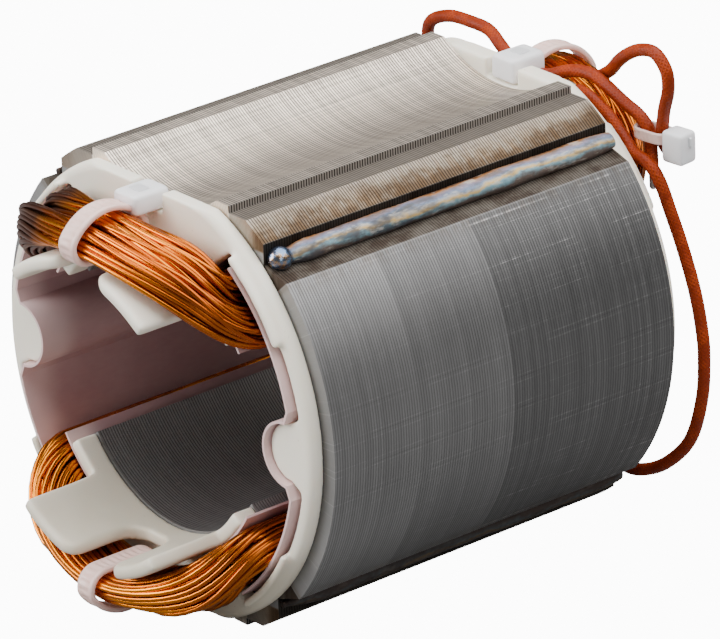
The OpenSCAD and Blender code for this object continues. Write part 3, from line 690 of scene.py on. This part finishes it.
def coilOutline():
    # the section at the middle of a bend, a rounded block under the dome: even points round it, the
    # ways inwards and the length round it
    size = np.array([coil["farEnd"] - coil["nearEnd"], coil["outer"] - coil["inner"]])
    way = waysOut(circle(coil["corners"]))
    spot = size / 2 + np.sign(way) * (size / 2 - coil["edge"]) + coil["edge"] * way
    reach = coil["nearEnd"] + spot[:, 0]
    spot = np.stack([reach, spot[:, 1] / size[1] * (domeHeight(reach) - coil["inner"])], -1)
    outline, even, total = evenLoop(spot, coil["samples"])
    outline = evened(outline, coil["rounding"])
    span = coil["slopeSpan"]
    ahead = unit(np.roll(outline, -span, axis=0) - np.roll(outline, span, axis=0))
    return outline, np.stack([-ahead[:, 1], ahead[:, 0]], -1), total


def wirePlaces(total, travel):
    # each wire's place round the section and depth under it, at every step of its turn: even places
    # in layers, which sway with their neighbours, stray a little alone and dip into a valley that
    # wanders along the top; a few crossing wires lie proud and sweep from side to side
    extra = coil["crossing"]
    counts = [int((total - 2 * np.pi * inset) / coil["pitch"]) for inset in coil["layers"]]
    place = np.concatenate([(np.arange(n) + 0.5 * (i % 2)) / n for i, n in enumerate(counts)]
                           + [np.linspace(*coil["crossingPlaces"], extra)])[:, None]
    inset = np.repeat([*coil["layers"], coil["proud"]], [*counts, extra])[:, None]
    count, waves = len(place), len(coil["stray"])
    order = np.arange(1, waves + 1)[:, None, None]
    phase = rng.uniform(0, 2 * np.pi, (waves, count, 1))
    alone = rng.normal(0, 1, (waves, count, 1)) * np.array(coil["stray"])[:, None, None]
    shared = rng.uniform(0, 2 * np.pi, (waves, 1, 1)) + 2 * np.pi * (order - 1) * place
    sway = np.array(coil["together"])[:, None, None] * np.cos((order + 1) * travel + shared)
    sweep = np.repeat([0, coil["sweep"]], [count - extra, extra])[:, None]
    sweep = sweep * np.cos(2 * travel + phase[0])
    place = place + ((alone * np.cos(order * travel + phase) + sway).sum(0) + sweep) / total
    valley = coil["valley"] + coil["valleySway"] * np.sin(2 * travel + coil["valleyPhase"])
    apart = ((place - valley + 0.5) % 1 - 0.5) * total
    return place, inset + coil["dent"] * np.exp(-apart ** 2)


def addCoil(name, flip):
    # layers of wires round the section; each wire is a circle carried round its own turn
    outline, inward, total = coilOutline()
    share, stage, signX, signY = coilSteps()
    steps, sides = len(share), coil["sides"]
    place, inset = wirePlaces(total, circle(steps)[None])
    count = len(place)
    index = place % 1 * coil["samples"]
    ring = np.arange(coil["samples"] + 1)
    spot, way = (
        np.stack([np.interp(index, ring, np.append(side, side[0])) for side in group.T], -1)
        for group in (outline, inward))
    spot = spot + way * inset[..., None]
    across = (spot[..., 0] - coil["nearEnd"]) / (coil["farEnd"] - coil["nearEnd"])
    depth = 2 * spot[..., 1] / (domeHeight(spot[..., 0]) - coil["inner"]) - 1
    x, y, z = coilPoint(across, depth, share[None], stage[None], (signY < 0)[None])
    path = np.stack([x * signX, y * signY, z], -1)
    if flip:
        path = path * np.array([-1, 1, -1])
    ahead = unit(np.roll(path, -1, axis=1) - np.roll(path, 1, axis=1))
    side = path * np.array([1, 0, 1])  # away from the rotor axis
    side = unit(side - ahead * np.sum(side * ahead, -1, keepdims=True))
    other = np.cross(ahead, side)
    turn = circle(sides)[:, None]
    out = np.cos(turn) * side[:, :, None] + np.sin(turn) * other[:, :, None]
    points = path[:, :, None] + coil["wire"] / 2 * out
    quads, places, fans = ringFaces(steps, sides, closed=True)
    quads, fans, turned = pointOutwards(points[0].reshape(-1, 3), quads, fans)
    quads = (quads[None] + (np.arange(count) * steps * sides)[:, None, None]).reshape(-1, 4)
    tone = np.clip(rng.normal(coil["tone"], coil["toneSpread"], count), 0, 1)
    addPiece(name + "Wires", points.reshape(-1, 3), [quads], "enamelled_copper", [name],
             tone=np.repeat(tone, steps * sides))
    print(name, count, "wires", 2 * len(quads), "triangles")


addCoil("upper_coil", False)
addCoil("lower_coil", True)

tie = {
    "width": 3.6, "thickness": 1.1, "bend": 3.4, "near": 38.6, "far": 51.4, "low": 25.9,
    "high": 32.35, "gap": 0.2, "leadRoom": 0.8, "farthest": 40.0, "halvings": 40, "rounding": 5,
    "steps": 320, "sides": 28, "square": 0.45, "ribStep": 1.15, "ribDepth": 0.22, "rail": 0.68,
    "railSlope": 0.1, "trough": 0.35, "headWidth": 5.6, "headStart": 34.2, "headLength": 6.8,
    "headFoot": 30.6, "headRise": 0.4, "headSquare": 0.22, "headTaper": 0.16,
    "pawl": (1.3, 1.1, 0.16), "pawlSquare": 0.3, "pawlShift": 0.4, "pawlSink": 0.05}


def power(value, share):
    # power of the size, with the sign kept
    return np.sign(value) * np.abs(value) ** share


def roundedBlock(middle, half, squareness, rows=24, columns=48):
    # superquadric: powers of the sines and cosines of two angles, so flat sides meet in round edges
    v = np.linspace(-np.pi / 2, np.pi / 2, rows + 2)[1:-1, None]
    u = circle(columns)[None]
    ring = power(np.cos(v), squareness)
    x = ring * power(np.cos(u), squareness)
    y = ring * power(np.sin(u), squareness)
    z = np.broadcast_to(power(np.sin(v), squareness), x.shape)
    return np.asarray(middle) + np.stack([x, y, z], -1) * np.asarray(half)


def loopPath(room):
    # rays from the loop's middle, each run out by halving to a rounded block cut by the dome, half
    # a strap outside the coil; room leaves space for a lead
    wall = tie["thickness"] / 2
    low = np.array([tie["near"], tie["low"]]) - wall
    high = np.array([tie["far"], tie["high"] + room]) + wall
    middle, half, bend = (low + high) / 2, (high - low) / 2, tie["bend"] - wall
    dome = np.array([coil["domePlace"] - room, coil["domeCentre"] + room / 2])
    domeRadius = coil["domeRadius"] + tie["gap"] + room / 2 + wall
    way = waysOut(circle(4 * tie["steps"]))
    near, far = np.zeros(len(way)), np.full(len(way), tie["farthest"])
    for halving in range(tie["halvings"]):
        reach = (near + far) / 2
        spot = middle + way * reach[:, None]
        over = np.abs(spot - middle) - half + bend
        block = np.linalg.norm(np.maximum(over, 0), axis=1) + np.minimum(over.max(1), 0) - bend
        outside = np.maximum(block, np.linalg.norm(spot - dome, axis=1) - domeRadius) > 0
        near, far = np.where(outside, near, reach), np.where(outside, reach, far)
    path, even, total = evenLoop(spot, tie["steps"])
    return evened(path, tie["rounding"]), even, total


def strapRings(path, even, total, size):
    # flat rounded section carried round the loop; the ribs dip between two rails on its outer face
    ahead = unit(np.roll(path, -1, axis=0) - np.roll(path, 1, axis=0))
    out = np.stack([ahead[:, 1], -ahead[:, 0]], -1)
    turn = circle(size["sides"])[None]
    across = power(np.cos(turn), tie["square"]) * size["width"] / 2
    up = power(np.sin(turn), tie["square"]) * size["thickness"] / 2
    ribs = max(1, round(total / size["ribStep"]))
    dip = 0.5 + 0.5 * np.cos(2 * np.pi * ribs * even / total)[:, None]
    fromRail = tie["rail"] - np.abs(across) / (size["width"] / 2)
    inside = np.clip(fromRail / tie["railSlope"], 0, 1) * (up > 0)
    up = up - size["ribDepth"] * inside * mix(tie["trough"], 1, dip)
    across = np.broadcast_to(across, up.shape)
    flat = path[:, None] + out[:, None] * up[..., None]
    return np.stack([across, flat[..., 0], flat[..., 1]], -1)


def addTie(name, signY, signZ, room, rise):
    # a strap loop, a head that tapers towards its top, and the pawl on the head
    loop = strapRings(*loopPath(room), tie)
    top = tie["high"] + room + tie["thickness"] + rise
    middle = (0, tie["headStart"] + tie["headLength"] / 2, (tie["headFoot"] + top) / 2)
    half = (tie["headWidth"] / 2, tie["headLength"] / 2, (top - tie["headFoot"]) / 2)
    block = roundedBlock(middle, half, tie["headSquare"])
    above = np.clip((block[..., 2] - middle[2]) / half[2], 0, 1)
    block[..., 0] *= 1 - tie["headTaper"] * above ** 3
    spot = (0, middle[1] + tie["pawlShift"], top - tie["pawlSink"])
    pawl = roundedBlock(spot, tie["pawl"], tie["pawlSquare"], 12, 32)
    signs = np.array([1, signY, signZ])
    addRings(name + "Nylon", [block * signs, pawl * signs], "nylon_tie", [name], loop * signs)


addTie("front_upper_tie", -1, 1, 0, tie["headRise"])
addTie("front_lower_tie", -1, -1, 0, 0)
addTie("rear_upper_tie", 1, 1, tie["leadRoom"], tie["headRise"])
addTie("rear_lower_tie", 1, -1, 0, 0)

gather = {
    "place": (25.85, 42.55, 27.0), "turn": 6, "loop": (5.8, 2.95), "bend": 1.3, "width": 1.8,
    "thickness": 0.6, "ribStep": 0.8, "ribDepth": 0.12, "steps": 140, "sides": 20,
    "head": (4.2, 3.6, 5.2), "headSquare": 0.24, "drop": 0.9, "tail": (0.8, 0.55, 1.6),
    "tailSquare": 0.35, "tailShift": (0.2, 1.0)}


def addLeadTie():
    # a strap round two leads lying flat, its head at the far end of the loop, a cut tail on it
    wall = gather["thickness"] / 2
    half = np.array(gather["loop"]) / 2 + wall
    bend = gather["bend"] + wall
    way = waysOut(circle(4 * gather["steps"]))
    loop = strapRings(*evenLoop(np.sign(way) * (half - bend) + bend * way, gather["steps"]), gather)
    loop = loop[..., [1, 2, 0]]  # the strap's width stands upright
    size = np.array(gather["head"])
    middle = np.array([gather["loop"][0] / 2 + size[0] / 2, 0, -gather["drop"]])
    block = roundedBlock(middle, size / 2, gather["headSquare"])
    spot = middle + (size[0] / 2, *gather["tailShift"])
    tail = roundedBlock(spot, np.array(gather["tail"]) / 2, gather["tailSquare"], 14, 32)
    a = math.radians(gather["turn"])
    spin = np.array([[math.cos(a), math.sin(a), 0], [-math.sin(a), math.cos(a), 0], [0, 0, 1]])
    loop, block, tail = (rings @ spin + np.array(gather["place"]) for rings in (loop, block, tail))
    addRings("lead_tieNylon", [block, tail], "nylon_tie", ["lead_tie"], loop)


addLeadTie()
print("ties closed")

weld = {
    "corner": (24.225, 27.364), "lip": (29.345, 25.689), "side": 1.0, "lift": 0.7, "sink": 0.04,
    "radius": 1.75, "sway": 0.07, "swaySteps": (0.13, 0.29, 0.47, 0.83), "ripple": 0.012,
    "rippleStep": 1.1, "crown": 0.9, "lean": 0.9, "flat": 0.18, "flatAngle": 1.0, "fade": 0.25,
    "fadeStart": 29.0, "begin": 8.0, "beginShare": 0.1, "ballPlace": -31.8, "ballRadius": 1.9,
    "neck": 0.66, "neckEnd": -26.0, "least": 0.05, "halfLength": 33.98, "rows": 340, "columns": 36}


def addWeld(name, signX, signZ, withBall):
    # radius about the bead's axis: wavy, rippled and a little flat on top, cut back to the groove's
    # wall and floor; it fades at the rear and starts thin, or with a ball, at the front
    corner, lip = np.array(weld["corner"]), np.array(weld["lip"])
    floorWay = unit(lip - corner)
    floorOut = np.array([-floorWay[1], floorWay[0]])
    offset = np.array([weld["side"], weld["lift"]])
    y = np.linspace(-weld["halfLength"], weld["halfLength"], weld["rows"])[:, None]
    turn = circle(weld["columns"])[None]
    way = waysOut(turn)
    waves = rng.uniform(0, 2 * np.pi, len(weld["swaySteps"]))
    sway = sum(np.sin(y * step + wave) for step, wave in zip(weld["swaySteps"], waves)) / len(waves)
    late = y - weld["lean"] * (1 - np.cos(turn - weld["crown"]))
    bead = weld["radius"] * (1 + weld["sway"] * sway)
    bead = bead + weld["ripple"] * np.sin(2 * np.pi * late / weld["rippleStep"])
    bead = bead * (1 - weld["flat"] * np.maximum(np.cos(turn - weld["flatAngle"]), 0) ** 2)
    faded = np.clip((y - weld["fadeStart"]) / (weld["halfLength"] - weld["fadeStart"]), 0, 1)
    bead = bead * (1 - weld["fade"] * faded ** 2)
    if withBall:
        beyond = y - weld["ballPlace"]
        share = np.clip(beyond / (weld["neckEnd"] - weld["ballPlace"]), 0, 1)
        bead = bead * mix(weld["neck"], 1, share * share * (3 - 2 * share)) * (beyond > 0)
        ball = np.sqrt(np.maximum(weld["ballRadius"] ** 2 - beyond ** 2, 0))
        bead = np.maximum(np.maximum(bead, ball), weld["least"])
    else:
        begun = (y + weld["halfLength"]) / weld["begin"]
        bead = bead * np.clip(begun, weld["beginShare"], 1) ** 0.5
    tiny = 1e-4
    wallRoom = (weld["side"] + weld["sink"]) / np.maximum(-way[..., 0], tiny)
    floorRoom = (offset @ floorOut + weld["sink"]) / np.maximum(-(way @ floorOut), tiny)
    reach = np.minimum(bead, np.minimum(wallRoom, floorRoom))
    flat = corner + offset + way * reach[..., None]
    along = np.broadcast_to(y, reach.shape)
    rings = np.stack([signX * flat[..., 0], along, signZ * flat[..., 1]], -1)
    addRings(name + "Bead", [rings], "weld_steel", [name])


addWeld("upper_right_weld", 1, 1, True)
addWeld("upper_left_weld", -1, 1, False)
addWeld("lower_right_weld", 1, -1, False)
addWeld("lower_left_weld", -1, -1, False)
print("beads run")

moulding = {
    "merge": 1e-6, "voxel": 0.3, "smoothing": 14, "tongueStart": 39.0, "bands": 6, "bandStep": 0.6,
    "softening": 55, "keep": 0.55}


def applyModifiers(piece):
    # the shape after the modifiers becomes the piece's own mesh
    bpy.context.view_layer.update()
    graph = bpy.context.evaluated_depsgraph_get()
    shaped = bpy.data.meshes.new_from_object(piece.evaluated_get(graph))
    piece.modifiers.clear()
    piece.data = shaped


def addMoulding(name):
    # a merged copy of the frame, cut into small cells and smoothed, so its edges and inner corners
    # are round; the tongues, which stand out along the rotor axis, are smoothed more, by bands
    piece = bpy.data.objects.new(name + "Moulding", frame["nodes"][name].data.copy())
    bpy.context.collection.objects.link(piece)
    cells = bmesh.new()
    cells.from_mesh(piece.data)
    bmesh.ops.remove_doubles(cells, verts=cells.verts, dist=moulding["merge"])
    cells.to_mesh(piece.data)
    cells.free()
    remesh = piece.modifiers.new("cells", "REMESH")
    remesh.mode = "VOXEL"
    remesh.voxel_size = moulding["voxel"] * mm
    soft = piece.modifiers.new("soft", "SMOOTH")
    soft.iterations = moulding["smoothing"]
    applyModifiers(piece)
    spots = np.empty(3 * len(piece.data.vertices))
    piece.data.vertices.foreach_get("co", spots)
    beyond = (np.abs(spots[1::3]) / mm - moulding["tongueStart"]) / moulding["bandStep"]
    band = np.clip(np.ceil(beyond), 0, moulding["bands"]).astype(int)
    tongues = piece.vertex_groups.new(name="tongues")
    for step in range(1, moulding["bands"] + 1):
        tongues.add(np.flatnonzero(band == step).tolist(), step / moulding["bands"], "REPLACE")
    softer = piece.modifiers.new("softer", "SMOOTH")
    softer.iterations = moulding["softening"]
    softer.vertex_group = tongues.name
    fewer = piece.modifiers.new("fewer", "DECIMATE")
    fewer.ratio = moulding["keep"]
    applyModifiers(piece)
    piece.vertex_groups.clear()
    shaped = piece.data
    shaped.polygons.foreach_set("use_smooth", np.ones(len(shaped.polygons), bool))
    placePiece(piece, "ivory_plastic", [name])
    print(name, len(shaped.polygons), "faces")


addMoulding("front_end_frame")
addMoulding("rear_end_frame")

floor = {"size": 6.0, "height": -34.5, "glow": 14.0, "seen": 0.85, "grey": 0.22}


def addFloor():
    # one square under the part, which glows white to the camera and is grey to all else
    mesh = bpy.data.meshes.new("floor")
    half = floor["size"] / 2
    z = floor["height"] * mm
    corners = [(-half, -half, z), (half, -half, z), (half, half, z), (-half, half, z)]
    mesh.from_pydata(corners, [], [(0, 1, 2, 3)])
    finish = Finish("paleFloor")
    seen = finish.add("LightPath", out="Is Camera Ray") * floor["seen"]
    matte = finish.add("BsdfDiffuse", inputs={"Color": (*[floor["grey"]] * 3, 1)})
    glow = finish.add("Emission", inputs={"Color": (1, 1, 1, 1), "Strength": floor["glow"]})
    shade = finish.add("MixShader", inputs={0: seen, 1: matte, 2: glow})
    finish.add("OutputMaterial", inputs={"Surface": shade})
    mesh.materials.append(finish.material)
    piece = bpy.data.objects.new("floor", mesh)
    bpy.context.collection.objects.link(piece)


addFloor()

lamps = {  # where each soft box stands, its size and its power
    "overhead": ((0.15, 0.1, 0.95), (1.4, 1.4), 30),
    "frontLeft": ((-0.6, -0.95, 0.5), (0.7, 0.7), 18),
    "rightBack": ((0.62, 0.58, 0.58), (0.6, 0.5), 1.6),
    "rightFill": ((0.9, -0.45, 0.4), (0.3, 0.6), 1.6)}
worldGlow = 0.14


def addLamps():
    # each soft box faces the origin, and the world adds an even glow
    for name, (spot, size, watts) in lamps.items():
        light = bpy.data.lights.new(name, "AREA")
        light.shape = "RECTANGLE"
        light.size, light.size_y = size
        light.energy = watts
        lamp = bpy.data.objects.new(name, light)
        back = unit(np.array(spot))
        right = unit(np.cross((0, 0, 1), back))
        lamp.matrix_world = standing(right, np.cross(back, right), back, spot)
        bpy.context.collection.objects.link(lamp)
    world = bpy.data.worlds.new("studio")
    world.use_nodes = True
    world.node_tree.nodes["Background"].inputs[0].default_value = (1, 1, 1, 1)
    world.node_tree.nodes["Background"].inputs[1].default_value = worldGlow
    bpy.context.scene.world = world


addLamps()
print("floor and lamps placed")
